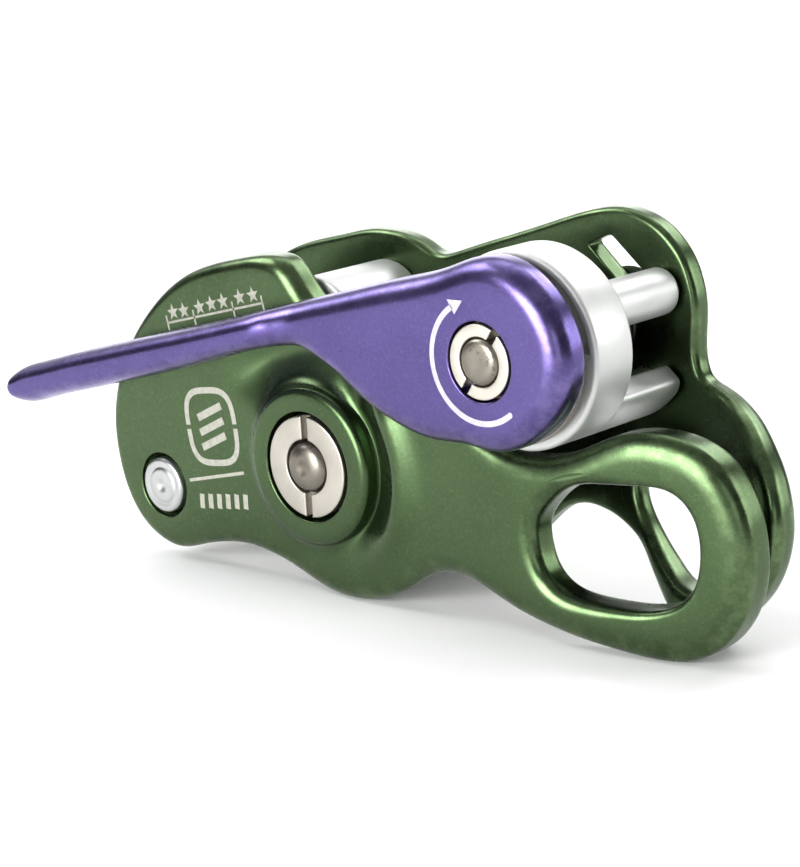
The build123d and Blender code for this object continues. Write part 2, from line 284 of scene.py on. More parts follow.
def solid(b, outer, yf, yb, holes=(), af=1.0, bf=None, ab=0.6, bb=None, K=6, side=2, grid=1.1,
          front_rings=(), back_rings=(), pockets=(), front_grid=None, rear_pockets=()):
    """Closed forged or machined slab between front surface yf(x, z) and back surface yb(x, z).

    outer: loop. af / ab: in-plane rounding at the front and back rim, bf / bb: its depth (numbers or
    functions of x, z). holes: dicts with loop (or x, z, rf, rb, mids for a stepped bore)."""
    def val(a, P):
        return a(P[:, 0], P[:, 1]) if callable(a) else np.full(len(P), float(a))

    th = np.linspace(0, math.pi / 2, K + 1)

    def rim(P, left, a, bdepth, surf, sign):
        """Rings from the wall to the face. sign +1: front face (towards -Y)."""
        r = limit_radius(P, val(a, P), left)
        full = val(a, P)
        depth = (val(bdepth, P) if bdepth is not None else full) * np.clip(r / np.maximum(full, 1e-6), 0.35, 1)
        n = normals_into(P, left)
        rings = []
        for t in th:
            Q = P + n * (r * (1 - math.cos(t)))[:, None]
            y = surf(Q[:, 0], Q[:, 1]) + sign * depth * (1 - math.sin(t))
            rings.append(b.add(np.stack([Q[:, 0], y, Q[:, 1]], 1), math.cos(t) ** 0.5 if t < 1.57 else 0.0))
        return rings

    f_loops, b_loops = [], []
    todo = [(ccw(outer), True, af, bf, ab, bb, None)]
    for h in holes:
        if "loop" in h:
            todo.append((ccw(h["loop"]), False, h.get("af", af), h.get("bf", None), h.get("ab", ab), h.get("bb", None), h))
        else:
            todo.append((None, False, h.get("af", 0.15), None, h.get("ab", 0.15), None, h))
    for P, left, a1, b1, a2, b2, h in todo:
        if P is None:
            n = h.get("n", 96)
            Pf, Pb = circle_loop(h["x"], h["z"], h["rf"], n), circle_loop(h["x"], h["z"], h["rb"], n)
        else:
            Pf = Pb = P
        fr = rim(Pf, left, a1, b1, yf, +1)
        br = rim(Pb, left, a2, b2, yb, -1)
        flip = not left
        for k in range(K):
            b.strip(fr[k], fr[k + 1], flip)
            b.strip(br[k + 1], br[k], flip)
        V = np.array(b.v)
        if h is not None and "mids" in h:
            prev = fr[0]
            for r, y in h["mids"]:
                C = circle_loop(h["x"], h["z"], r, len(Pf))
                ring = b.add(np.stack([C[:, 0], np.full(len(C), y), C[:, 1]], 1), 0.0)
                b.strip(ring, prev, flip)
                prev = ring
            b.strip(br[0], prev, flip)
        else:
            prev = fr[0]
            A, B = V[fr[0]], V[br[0]]
            for s in range(1, side):
                ring = b.add(A + (B - A) * s / side, 0.0)
                b.strip(ring, prev, flip)
                prev = ring
            b.strip(br[0], prev, flip)
        f_loops.append(fr[K]); b_loops.append(br[K])
    for p in pockets:
        P = ccw(p["loop"])
        fr = rim(P, False, p.get("af", 0.15), None, yf, +1)
        for k in range(K):
            b.strip(fr[k], fr[k + 1], True)
        base = b.add(np.stack([P[:, 0], np.full(len(P), p["y"]), P[:, 1]], 1), 0.0)
        b.strip(base, fr[0], True)
        b.cap([base], None, lambda x, z, y=p["y"]: np.full(len(x), y), grid=grid)
        f_loops.append(fr[K])
    islands = []
    for p in rear_pockets:
        loops = []
        for r, wall_flip in ((p["ro"], True), (p.get("ri", 0.0), False)):
            if r <= 0:
                continue
            Q = circle_loop(p["x"], p["z"], r, p.get("n", 96))
            face = b.add(np.stack([Q[:, 0], yb(Q[:, 0], Q[:, 1]), Q[:, 1]], 1), 0.0)
            base = b.add(np.stack([Q[:, 0], np.full(len(Q), p["y"]), Q[:, 1]], 1), 0.0)
            b.strip(face, base, wall_flip)
            loops.append(base)
            if wall_flip:
                b_loops.append(face)
            else:
                islands.append([face] + [L for L, hh in zip(b_loops, [t[-1] for t in todo]) if hh is not None])
        b.cap(loops, None, lambda x, z, y=p["y"]: np.full(len(x), float(y)), grid=grid * 1.5, flip=True)
    if islands:
        b_loops = [L for L in b_loops if not any(any(L is M for M in I[1:]) for I in islands)]
    b.cap(f_loops, None, yf, grid=front_grid or grid, extra=front_rings)
    b.cap(b_loops, None, yb, grid=grid * 1.5, extra=back_rings, flip=True)
    for I in islands:
        b.cap(I, None, yb, grid=grid * 1.5, flip=True)
    return b


def lathe(b, x, z, profile, n=96, close=True):
    """Turned shape about a Y axis through (x, z). profile: (r, y) from the front centre to the back centre."""
    rings, a = [], np.arange(n) * 2 * math.pi / n
    for r, y in profile:
        if r < 1e-6:
            rings.append(b.add([(x, y, z)], 0.0))
        else:
            rings.append(b.add(np.stack([x + r * np.cos(a), np.full(n, y), z + r * np.sin(a)], 1), 0.0))
    for A, B in zip(rings[:-1], rings[1:]):
        if len(A) == 1:
            b.fan(B, A[0])
        elif len(B) == 1:
            b.fan(A, B[0], True)
        else:
            b.strip(B, A)
    if close and len(rings[0]) > 1 and len(rings[-1]) > 1:
        b.strip(rings[0], rings[-1])
    return b


def arc_profile(pts, r=0.25, k=4):
    """Profile polyline with its inner corners rounded."""
    out = [pts[0]]
    for p0, p1, p2 in zip(pts[:-2], pts[1:-1], pts[2:]):
        p0, p1, p2 = map(np.array, (p0, p1, p2))
        d0, d2 = np.linalg.norm(p0 - p1), np.linalg.norm(p2 - p1)
        q = min(r, 0.45 * d0, 0.45 * d2)
        a, c = p1 + (p0 - p1) / d0 * q, p1 + (p2 - p1) / d2 * q
        for i in range(k + 1):
            t = i / k
            out.append(tuple((1 - t) ** 2 * a + 2 * t * (1 - t) * p1 + t * t * c))
    out.append(pts[-1])
    return out


# ------------------------------------------------------------------ materials
def node_mat(name):
    m = bpy.data.materials.new(name)
    m.use_nodes = True
    nt = m.node_tree
    bsdf = nt.nodes["Principled BSDF"]
    return m, nt, bsdf


def noise(nt, coord, scale, detail=3.0, rough=0.55, vec_scale=None):
    t = nt.nodes.new("ShaderNodeTexNoise")
    t.inputs["Scale"].default_value = scale
    t.inputs["Detail"].default_value = detail
    t.inputs["Roughness"].default_value = rough
    if vec_scale is not None:
        mp = nt.nodes.new("ShaderNodeMapping")
        mp.inputs["Scale"].default_value = vec_scale
        nt.links.new(coord, mp.inputs["Vector"])
        coord = mp.outputs["Vector"]
    nt.links.new(coord, t.inputs["Vector"])
    return t.outputs["Fac"]


def ramp(nt, fac, stops):
    r = nt.nodes.new("ShaderNodeValToRGB")
    while len(r.color_ramp.elements) < len(stops):
        r.color_ramp.elements.new(0.5)
    for e, (p, c) in zip(r.color_ramp.elements, stops):
        e.position = p
        e.color = (*c, 1) if len(c) == 3 else c
    nt.links.new(fac, r.inputs["Fac"])
    return r.outputs["Color"]


def math_node(nt, op, a, b_=None, clamp=False):
    m = nt.nodes.new("ShaderNodeMath")
    m.operation = op
    m.use_clamp = clamp
    for i, v in enumerate((a, b_)):
        if v is None:
            continue
        if isinstance(v, (int, float)):
            m.inputs[i].default_value = v
        else:
            nt.links.new(v, m.inputs[i])
    return m.outputs[0]


def mix_col(nt, fac, a, b_):
    m = nt.nodes.new("ShaderNodeMix")
    m.data_type = "RGBA"
    for sock, v in ((m.inputs["Factor"], fac), (m.inputs["A"], a), (m.inputs["B"], b_)):
        if isinstance(v, (int, float)):
            sock.default_value = v
        elif isinstance(v, tuple):
            sock.default_value = (*v, 1)
        else:
            nt.links.new(v, sock)
    return m.outputs["Result"]


def anodised(name, deep, mid, light, rough=0.30, coat=0.25):
    """Bead-blasted and dyed aluminium: mottled dye depth, satin grain, paler worn rims."""
    m, nt, bsdf = node_mat(name)
    co = nt.nodes.new("ShaderNodeTexCoord").outputs["Object"]
    cloud = noise(nt, co, 55.0, 4.0)
    speck = noise(nt, co, 2600.0, 2.0)
    base = ramp(nt, cloud, [(0.32, deep), (0.55, mid), (0.78, mid)])
    base = mix_col(nt, math_node(nt, "MULTIPLY", math_node(nt, "SUBTRACT", speck, 0.5), 0.5, True), base, light)
    at = nt.nodes.new("ShaderNodeAttribute"); at.attribute_name = "edge"
    wear_n = noise(nt, co, 420.0, 5.0, 0.65)
    wear = math_node(nt, "MULTIPLY", at.outputs["Fac"], math_node(nt, "SUBTRACT", wear_n, 0.42), True)
    base = mix_col(nt, math_node(nt, "MULTIPLY", wear, 1.6, True), base, light)
    nt.links.new(base, bsdf.inputs["Base Color"])
    bsdf.inputs["Metallic"].default_value = 1.0
    rg = math_node(nt, "ADD", math_node(nt, "MULTIPLY", noise(nt, co, 180.0, 4.0), 0.12), rough - 0.06)
    nt.links.new(rg, bsdf.inputs["Roughness"])
    bsdf.inputs["Coat Weight"].default_value = coat
    bsdf.inputs["Coat Roughness"].default_value = 0.28
    bsdf.inputs["Coat IOR"].default_value = 1.6
    bp = nt.nodes.new("ShaderNodeBump")
    bp.inputs["Strength"].default_value = 0.055
    bp.inputs["Distance"].default_value = 0.00008
    nt.links.new(speck, bp.inputs["Height"])
    nt.links.new(bp.outputs["Normal"], bsdf.inputs["Normal"])
    return m


def steel(name, dark, light, rough, centre=None, turned=0.0, grain=0.05, spot=0.0):
    """Stainless steel: cloudy polish, fine scratches, and turning rings about an axis where it was lathed."""
    m, nt, bsdf = node_mat(name)
    co = nt.nodes.new("ShaderNodeTexCoord").outputs["Object"]
    cloud = noise(nt, co, 140.0, 5.0)
    base = ramp(nt, cloud, [(0.3, dark), (0.7, light)])
    scr = noise(nt, co, 900.0, 3.0, 0.6, (1.0, 14.0, 1.0))
    if spot > 0:
        sp = noise(nt, co, 1500.0, 4.0, 0.7)
        f = math_node(nt, "MULTIPLY", math_node(nt, "GREATER_THAN", sp, 0.62), spot)
        base = mix_col(nt, f, base, tuple(0.45 * c for c in dark))
    nt.links.new(base, bsdf.inputs["Base Color"])
    bsdf.inputs["Metallic"].default_value = 1.0
    rg = math_node(nt, "ADD", math_node(nt, "MULTIPLY", noise(nt, co, 420.0, 4.0), 0.14), rough - 0.07)
    nt.links.new(rg, bsdf.inputs["Roughness"])
    height = scr
    if centre is not None:
        sep = nt.nodes.new("ShaderNodeSeparateXYZ")
        nt.links.new(co, sep.inputs[0])
        dx = math_node(nt, "SUBTRACT", sep.outputs["X"], (centre[0] + SX) * 0.001)
        dz = math_node(nt, "SUBTRACT", sep.outputs["Z"], centre[1] * 0.001)
        rr = math_node(nt, "SQRT", math_node(nt, "ADD", math_node(nt, "MULTIPLY", dx, dx), math_node(nt, "MULTIPLY", dz, dz)))
        w = nt.nodes.new("ShaderNodeTexNoise")
        w.noise_dimensions = "1D"
        w.inputs["Scale"].default_value = 9000.0
        w.inputs["Detail"].default_value = 2.0
        nt.links.new(rr, w.inputs["W"])
        height = math_node(nt, "ADD", math_node(nt, "MULTIPLY", w.outputs["Fac"], turned), math_node(nt, "MULTIPLY", scr, grain * 4))
    bp = nt.nodes.new("ShaderNodeBump")
    bp.inputs["Strength"].default_value = 0.10
    bp.inputs["Distance"].default_value = 0.00006
    nt.links.new(height, bp.inputs["Height"])
    nt.links.new(bp.outputs["Normal"], bsdf.inputs["Normal"])
    return m


GREEN = anodised("green_anodised", (0.045, 0.076, 0.031), (0.057, 0.094, 0.040), (0.19, 0.27, 0.13), 0.28, 0.12)
PURPLE = anodised("purple_anodised", (0.072, 0.053, 0.168), (0.088, 0.066, 0.205), (0.27, 0.22, 0.48), 0.27, 0.12)
CAST = steel("polished_cast_steel", (0.52, 0.53, 0.52), (0.60, 0.61, 0.60), 0.44)
CAST.node_tree.nodes["Principled BSDF"].inputs["Metallic"].default_value = 0.60
RINGM = steel("turned_ring", (0.38, 0.36, 0.315), (0.47, 0.445, 0.395), 0.40, (PX, PZ), 1.0)
NUTM = steel("turned_nut", (0.44, 0.42, 0.37), (0.54, 0.515, 0.455), 0.36, (AX, AZ), 1.0)
PINM = steel("peened_pin", (0.135, 0.122, 0.102), (0.245, 0.225, 0.19), 0.34, None, 0, 0.05, 0.55)
RIVM = steel("bright_rivet", (0.40, 0.415, 0.41), (0.52, 0.535, 0.53), 0.30, (RX, RZ), 1.2)
SHAFT = steel("ground_shaft", (0.58, 0.59, 0.58), (0.67, 0.68, 0.67), 0.26)
WASH = steel("washer_steel", (0.30, 0.285, 0.25), (0.40, 0.38, 0.34), 0.40, (AX, AZ), 0.8)
# springs are real parts, but their near-black wire colour is painted shade: the coils stand in for the shade
# between the cam posts
SPRING_SHADE_WIRE = steel("spring_wire_painted_shade", (0.030, 0.032, 0.030), (0.060, 0.064, 0.060), 0.40)


def bronze():
    m, nt, bsdf = node_mat("sintered_bronze")
    co = nt.nodes.new("ShaderNodeTexCoord").outputs["Object"]
    nt.links.new(ramp(nt, noise(nt, co, 800.0, 5.0), [(0.35, (0.30, 0.20, 0.10)), (0.7, (0.55, 0.40, 0.20))]), bsdf.inputs["Base Color"])
    bsdf.inputs["Metallic"].default_value = 1.0
    bsdf.inputs["Roughness"].default_value = 0.5
    return m


BRONZE = bronze()


def laser_mark():
    m, nt, bsdf = node_mat("laser_mark")
    co = nt.nodes.new("ShaderNodeTexCoord").outputs["Object"]
    nt.links.new(ramp(nt, noise(nt, co, 1400.0, 4.0), [(0.3, (0.25, 0.25, 0.21)), (0.7, (0.35, 0.35, 0.30))]), bsdf.inputs["Base Color"])
    bsdf.inputs["Roughness"].default_value = 0.6
    bsdf.inputs["Metallic"].default_value = 0.15
    return m


MARK = laser_mark()
MARKW = MARK.copy(); MARKW.name = "arrow_mark"
for n_ in MARKW.node_tree.nodes:
    if n_.type == "VALTORGB":
        n_.color_ramp.elements[0].color = (0.35, 0.325, 0.40, 1)
        n_.color_ramp.elements[1].color = (0.45, 0.425, 0.50, 1)

# ------------------------------------------------------------------ front plate
LEFT = [
    (-20.9, 41.35), (-25.7, 40.75), (-30.5, 39.65), (-35.6, 37.9), (-39.9, 35.4),
    (-43.2, 32.7), (-47.3, 28.1), (-50.4, 22.6), (-51.7, 17.6), (-51.55, 12.8),
    (-50.0, 7.6), (-47.6, 4.3), (-44.3, 2.25), (-40.8, 1.6), (-36.8, 2.55),
    (-32.9, 3.5), (-28.5, 4.0), (-24.2, 3.6), (-20.1, 2.4), (-16.5, 1.0),
    (-12.7, 0.1), (-9.0, 0.1),
]
FRONT = LEFT + [
    (-5.3, 0.9), (-1.5, 2.6), (1.6, 4.6), (4.4, 5.8), (6.6, 6.05), (9.0, 5.75),
    (12.0, 4.75), (16.0, 3.2), (20.5, 1.95), (25.0, 1.05), (30.0, 0.35),
    (34.5, 0.0), (38.2, 0.5), (41.5, 2.3), (43.9, 5.2), (45.4, 9.0), (45.75, 13.0),
    (45.2, 17.0), (43.7, 20.7), (41.2, 23.7), (38.0, 25.3), (34.5, 25.9),
    (31.0, 25.6), (27.5, 24.3), (24.0, 22.7),
] + [polar(NOTCH_R, a) for a in (-79, -92, -106, -120, -134, -148, -160)] + [
    (5.3, 32.3), (1.8, 33.4), (-3.0, 33.2), (-8.5, 33.6), (-12.3, 35.0),
    (-15.3, 37.4), (-17.4, 39.9), (-18.9, 41.0),
]
FRONT_EYE = [
    (19.3, 14.0), (19.35, 10.9), (20.2, 8.6), (22.0, 6.9), (24.8, 6.0), (28.5, 5.65),
    (32.1, 5.65), (35.2, 6.2), (37.6, 7.4), (39.2, 9.4), (39.85, 11.8), (39.9, 14.6),
    (39.3, 17.0), (38.0, 18.8), (36.2, 19.8), (33.8, 20.05), (30.8, 19.9),
    (27.8, 19.7), (25.2, 19.3), (22.9, 18.2), (20.9, 16.4),
]


def pchip(x, xs, ys):
    xs, ys = np.asarray(xs, float), np.asarray(ys, float)
    h = np.diff(xs); dlt = np.diff(ys) / h
    m = np.zeros(len(xs))
    for i in range(1, len(xs) - 1):
        if dlt[i - 1] * dlt[i] > 0:
            w1, w2 = 2 * h[i] + h[i - 1], h[i] + 2 * h[i - 1]
            m[i] = (w1 + w2) / (w1 / dlt[i - 1] + w2 / dlt[i])
    x = np.clip(x, xs[0], xs[-1])
    k = np.clip(np.searchsorted(xs, x, side="right") - 1, 0, len(xs) - 2)
    t = (x - xs[k]) / h[k]
    return ((2 * t ** 3 - 3 * t ** 2 + 1) * ys[k] + (t ** 3 - 2 * t ** 2 + t) * h[k] * m[k]
            + (-2 * t ** 3 + 3 * t ** 2) * ys[k + 1] + (t ** 3 - t ** 2) * h[k] * m[k + 1])


E_ = 4.4
BOSS_RR = [6.8, 7.05, 8.9, 9.3, 9.55, 9.72, 9.82, 9.9, 10.0, 10.12, 10.5, 10.9, 11.4, 12.0, 12.6, 13.2, 13.9, 14.6, 15.3, 16.0, 16.8, 17.8, 18.8]
BOSS_H = [-1.3, -1.3, -1.3, -1.2, -1.02, -0.82, -0.66, -0.54, -0.44, -0.36, -0.16, -0.06, -0.01, 0, 0, 0, 0, 0, 0, 0, 0, 0, 0]
NEAR_DIP = [0, 0, 0, 0, 0, 0, 0.20, 0.64, 1.46, 1.42, 1.09, 0.86, 0.65, 0.43, 0.24, 0.10, 0.01, 0, 0, 0, 0, 0, 0]
CREST = [0, 0, 0, 0, 0, 0, 0, 0, 0, 0, 0, -0.04, -0.10, -0.20, -0.36, -0.60, -0.86, -0.88, -0.70, -0.49, -0.26, -0.06, 0]
TOP_DIP = [0, 0, 0, 0, 0, 0.03, 0.12, 0.25, 0.38, 0.46, 0.68, 0.85, 1.05, 1.26, 1.45, 1.60, 1.70, 1.68, 1.48, 1.12, 0.62, 0.16, 0]


def angle_weight(phi, a0, a1, a2, a3):
    """1 between a1 and a2 degrees, falling to 0 at a0 and a3."""
    return smooth((phi - a0) / (a1 - a0)) * smooth((a3 - phi) / (a3 - a2))


def front_face(x, z):
    x, z = np.asarray(x, float), np.asarray(z, float)
    y = pchip(x, [12, 22, 30, 38, 46, 52], [0, 0.12 * E_, 0.38 * E_, 0.72 * E_, 0.97 * E_, E_])
    dx, dz = x - PX, z - PZ
    r = np.hypot(dx, dz)
    phi = np.degrees(np.arctan2(dz, dx))
    near = angle_weight(phi, -85, -30, 30, 75)
    crest = angle_weight(phi, -62, -12, 34, 78)
    top = angle_weight(phi, 25, 68, 112, 158)
    y = y + np.where(r < 18.8, np.interp(r, BOSS_RR, BOSS_H) + near * np.interp(r, BOSS_RR, NEAR_DIP)
                     + crest * np.interp(r, BOSS_RR, CREST) + top * np.interp(r, BOSS_RR, TOP_DIP), 0.0)
    return y


def front_back(x, z):
    return pchip(np.asarray(x, float), [12, 22, 30, 38, 46, 52],
                 [4.4, 4.4 + 0.12 * E_, 4.7 + 0.38 * E_, 4.9 + 0.72 * E_, 5.0 + 0.97 * E_, 5.0 + E_])


def front_round(x, z):
    return np.interp(x, [-52, -24, -18, -8, 6, 20, 30], [1.2, 1.5, 2.2, 2.2, 2.2, 2.5, 3.1])


def front_round_depth(x, z):
    return np.interp(x, [-52, -24, -18, -8, 6, 20, 30], [1.2, 1.4, 1.9, 1.8, 1.8, 1.8, 1.7])


def hole_round(x, z):
    return np.interp(x, [18, 22, 30, 38], [2.0, 1.8, 1.1, 0.8])


b = Builder()
boss_rings = [circle_loop(PX, PZ, r, 168) for r in BOSS_RR[1:]]
solid(b, spline_loop(FRONT, 0.5), front_face, front_back,
      holes=[
          dict(loop=spline_loop(FRONT_EYE, 0.45), af=hole_round, bf=lambda x, z: 0.8 * hole_round(x, z), ab=1.0),
          dict(x=PX, z=PZ, rf=6.8, rb=5.9, af=0.22, ab=0.2, n=168, mids=[(6.8, 0.8), (5.9, 0.8)]),
          dict(x=RX, z=RZ, rf=4.2, rb=1.8, af=0.18, ab=0.1, n=96, mids=[(4.2, 0.8), (1.8, 0.8)]),
      ],
      af=front_round, bf=front_round_depth, ab=0.9, K=8, side=3, grid=1.0, front_rings=boss_rings)
front_plate = b.mesh("front_plate_forging", GREEN)
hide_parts("front_plate"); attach(front_plate, "front_side")

# ------------------------------------------------------------------ back plate
BACK = LEFT[1:] + [
    (-5.3, 0.9), (-1.8, 2.3), (2.0, 4.3), (4.8, 6.5), (7.2, 8.7), (8.8, 9.9),
    (10.8, 10.85), (12.8, 11.2), (14.8, 10.95), (17.8, 10.0), (20.4, 8.6),
    (22.8, 6.8), (25.5, 4.5), (28.3, 2.5), (31.1, 0.9), (34.2, 0.2), (37.3, 1.4),
    (40.5, 4.0), (43.1, 6.8), (44.7, 9.7), (45.55, 12.7), (45.7, 15.8), (44.9, 18.8),
    (43.3, 21.5), (40.9, 24.0), (37.8, 26.0), (34.6, 27.25), (32.2, 27.9),
    (30.4, 28.7), (29.6, 30.4), (29.5, 33.6), (29.6, 37.1), (29.1, 39.6),
    (28.1, 42.0), (26.6, 44.0), (24.7, 45.6), (22.4, 46.7), (19.7, 47.3),
    (17.0, 47.2), (13.7, 46.5), (8.3, 44.8), (2.0, 42.8), (-4.4, 40.8),
    (-7.2, 39.9), (-8.8, 39.6), (-10.4, 39.9), (-12.3, 40.8), (-14.9, 41.6),
    (-17.8, 41.9), (-21.1, 41.75),
]
BACK_EYE = [
    (20.7, 14.7), (21.1, 12.6), (22.3, 10.7), (24.2, 9.0), (26.6, 7.4), (29.3, 6.0),
    (32.2, 5.4), (35.2, 5.9), (37.7, 7.3), (39.3, 9.4), (40.1, 12.0), (40.2, 14.7),
    (39.6, 17.2), (38.2, 19.0), (36.2, 20.1), (33.8, 20.4), (30.8, 20.2),
    (27.8, 19.9), (25.2, 19.4), (23.1, 18.3), (21.4, 16.7),
]
D_ = 18.0 - 9.9


def bend_u(x, z):
    a = math.radians(33)
    return x * math.cos(a) - (z - 22.25) * math.sin(a)


def back_front(x, z):
    return pchip(bend_u(x, z), [18.5, 24, 30, 36, 42.5, 50],
                 [18, 18 - 0.09 * D_, 18 - 0.42 * D_, 18 - 0.78 * D_, 18 - 0.985 * D_, 9.9])


def back_back(x, z):
    return pchip(bend_u(x, z), [18.5, 24, 30, 36, 42.5, 50],
                 [21, 21.1 - 0.09 * D_, 21.8 - 0.42 * D_, 22.3 - 0.78 * D_, 22.4 - 0.985 * D_, 14.3])


def back_round(x, z):
    return np.interp(bend_u(x, z), [14, 22, 32], [0.8, 1.0, 1.5])


b = Builder()
solid(b, spline_loop(BACK, 0.5), back_front, back_back,
      holes=[
          dict(loop=spline_loop(BACK_EYE, 0.45), af=1.3, ab=1.2),
          dict(loop=poly_loop([(14.4, 42.8), (17.8, 44.2), (23.4, 39.4), (20.0, 37.6)], 0.25, 0.25), af=0.18, ab=0.8, bb=0.9),
          dict(x=PX, z=PZ, rf=4.5, rb=4.5, mids=[(4.5, 19.5)]),
          dict(x=AX, z=AZ, rf=2.6, rb=2.6, mids=[(2.6, 19.5)]),
          dict(x=GX, z=GZ, rf=2.0, rb=2.0, n=48, mids=[(2.0, 19.5)]),
          dict(x=polar(6.8, -58)[0], z=polar(6.8, -58)[1], rf=1.1, rb=1.1, n=36, mids=[(1.1, 19.5)]),
      ],
      af=back_round, ab=back_round, K=6, side=3, grid=1.2)
back_plate = b.mesh("back_plate_forging", GREEN)
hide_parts("back_plate"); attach(back_plate, "frame")

# ------------------------------------------------------------------ lever
LEVER = [
    polar(11.7, 20), polar(11.6, 45), polar(11.6, 70), polar(11.4, 92), (12.9, 43.85),
    (4.9, 41.75), (-2.0, 40.0), (-8.9, 38.2), (-18.0, 35.75), (-27.7, 33.25), (-36.0, 31.2),
    (-43.5, 29.3), (-51.5, 27.25), (-57.3, 25.65), (-60.9, 24.55), (-62.9, 23.2),
    (-63.5, 21.7), (-62.5, 20.4), (-60.2, 19.95), (-56.5, 20.85), (-50.4, 22.5), (-43.0, 24.4),
    (-34.6, 26.6), (-24.7, 29.4), (-17.5, 31.4), (-13.4, 32.2), (-10.3, 32.2),
    (-7.5, 31.1), (-4.5, 29.6), (-1.6, 27.7), (1.7, 25.9), (5.2, 24.6), (9.0, 23.8),
    polar(10.9, -110), polar(10.5, -90), polar(10.35, -68), polar(10.35, -45), polar(10.9, -24), polar(11.5, -4),
]


def lever_front(x, z):
    return pchip(np.asarray(x, float), [-66, -40, -24, -17, -13.5, -10, -4, 2, 40],
                 [-8.05, -8.03, -8.0, -7.85, -7.05, -6.45, -6.3, -6.3, -6.3])


def lever_back(x, z):
    return pchip(np.asarray(x, float), [-66, -40, -20, -4, 40], [-1.65, -1.65, -1.9, -2.0, -2.0])


def lever_af(x, z):
    return np.interp(x, [-60, -30, -18, -12, 4], [1.75, 1.8, 1.75, 2.2, 2.7])


def lever_bf(x, z):
    return np.interp(x, [-60, -18, -6, 4], [2.6, 2.6, 2.6, 2.5])


def lever_ab(x, z):
    return np.interp(x, [-60, -18, -6, 4], [1.9, 1.9, 1.2, 0.5])


LUG = polar(9.0, 150)
b = Builder()
solid(b, spline_loop(LEVER, 0.45), lever_front, lever_back,
      holes=[
          dict(x=AX, z=AZ, rf=4.55, rb=4.4, af=0.2, ab=0.15, n=120, mids=[(4.55, -4.1), (4.4, -4.1)]),
      ],
      rear_pockets=[dict(x=LUG[0], z=LUG[1], ro=1.22, n=40, y=-4.4),
                    dict(x=AX, z=AZ, ro=7.2, ri=5.0, y=-4.6)],
      af=lever_af, bf=lever_bf, ab=lever_ab, K=9, side=2, grid=0.9)
lever = b.mesh("lever_forging", PURPLE)
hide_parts("lever"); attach(lever, "lever_unit")

# ------------------------------------------------------------------ cam
def flat(y):
    return lambda x, z: np.full(np.shape(x), float(y))


b = Builder()
slot_loop = np.array([polar(10.45, a) for a in range(162, 0, -3)] + [polar(7.55, a) for a in range(6, 165, 3)])
solid(b, circle_loop(AX, AZ, DISC_R, 192), flat(0), flat(6.5),
      holes=[dict(x=AX, z=AZ, rf=4.6, rb=4.6, n=96, mids=[(4.6, 3.0)])],
      pockets=[dict(loop=slot_loop, y=2.2, af=0.1)], af=0.55, ab=0.45, K=5, side=2, grid=1.4)
solid(b, circle_loop(AX, AZ, 5.2, 96), flat(6.3), flat(13.3),
      holes=[dict(x=AX, z=AZ, rf=4.6, rb=4.6, n=96, mids=[(4.6, 10)])], af=0.05, ab=0.15, K=3, side=2, grid=1.4)
pc = polar(8.1, 32.4)
lathe(b, pc[0], pc[1], [(0, 6.0), (2.75, 6.0), (2.75, 8), (2.75, 12), (2.75, 16.9)]
      + [(2.75 - 0.7 * (1 - math.cos(t)), 16.9 + 0.7 * math.sin(t)) for t in np.linspace(0.2, math.pi / 2, 6)] + [(0, 17.6)], 96)
wall = ([polar(DISC_R, a) for a in range(-38, -127, -4)] + [polar(12.5, 222), polar(14.3, 215), polar(16.2, 208), polar(18.0, 201),
        polar(19.6, 194), polar(21.0, 187), polar(22.0, 181), polar(22.4, 176), polar(22.1, 171), polar(20.0, 166), polar(15.0, 160),
        polar(11.0, 152), polar(9.0, 142)] + [polar(DRUM_IN, a) for a in range(150, 330, 5)] + [polar(DRUM_IN, 331), (AX + 9.3, AZ - 5.75)])
solid(b, poly_loop(wall, 0.25, 0.25), flat(6.2), flat(17.6), af=0.1, ab=0.35, K=4, side=3, grid=1.5)
rib = [polar(4.9, 252), polar(8.6, 252), polar(8.6, 262), polar(4.9, 262)]
solid(b, poly_loop(rib, 0.3, 0.0), flat(9.5), flat(13.3), af=0.05, ab=0.05, K=2, side=1, grid=1.0)
cam = b.mesh("cam_casting", CAST, 38)
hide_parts("cam"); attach(cam, "cam_unit")

# ------------------------------------------------------------------ steel pieces
def half_ring(b, x, z, r_out, r_in, y0, y1, slot_w, slot_deg, rr=0.18):
    for s in (0, 180):
        d_o, d_i = math.degrees(math.asin(slot_w / 2 / r_out)), math.degrees(math.asin(slot_w / 2 / r_in))
        a0, a1 = slot_deg + s + d_o, slot_deg + s + 180 - d_o
        b0, b1 = slot_deg + s + d_i, slot_deg + s + 180 - d_i
        P = [polar(r_out, t, x, z) for t in np.linspace(a0, a1, 70)] + [polar(r_in, t, x, z) for t in np.linspace(b1, b0, 50)]
        solid(b, ccw(resample(np.array(P), 0.22)), flat(y0), flat(y1), af=rr, ab=0.05, K=4, side=1, grid=1.2)


b = Builder()
half_ring(b, PX, PZ, 6.27, 3.36, -1.3, -0.3, 1.0, 90)
lathe(b, PX, PZ, [(3.36, -0.34), (6.2, -0.34), (6.2, 0.2), (3.36, 0.2)], 120)
o = b.mesh("pivot_ring_nut", RINGM, 40)
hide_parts("pivot_ring"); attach(o, "frame")

b = Builder()
prof = [(0, -1.86), (0.35, -1.87), (0.65, -1.93), (0.9, -1.99), (1.15, -2.02), (1.5, -1.99), (2.0, -1.88), (2.4, -1.72), (2.72, -1.5), (2.95, -1.22), (3.08, -0.9),
        (3.12, -0.6), (3.2, -0.45), (3.25, -0.3), (3.25, 0.5), (0, 0.5)]
lathe(b, PX, PZ, prof, 96)
o = b.mesh("pivot_peened_pin", PINM, 50)
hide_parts("pivot_pin"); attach(o, "frame")

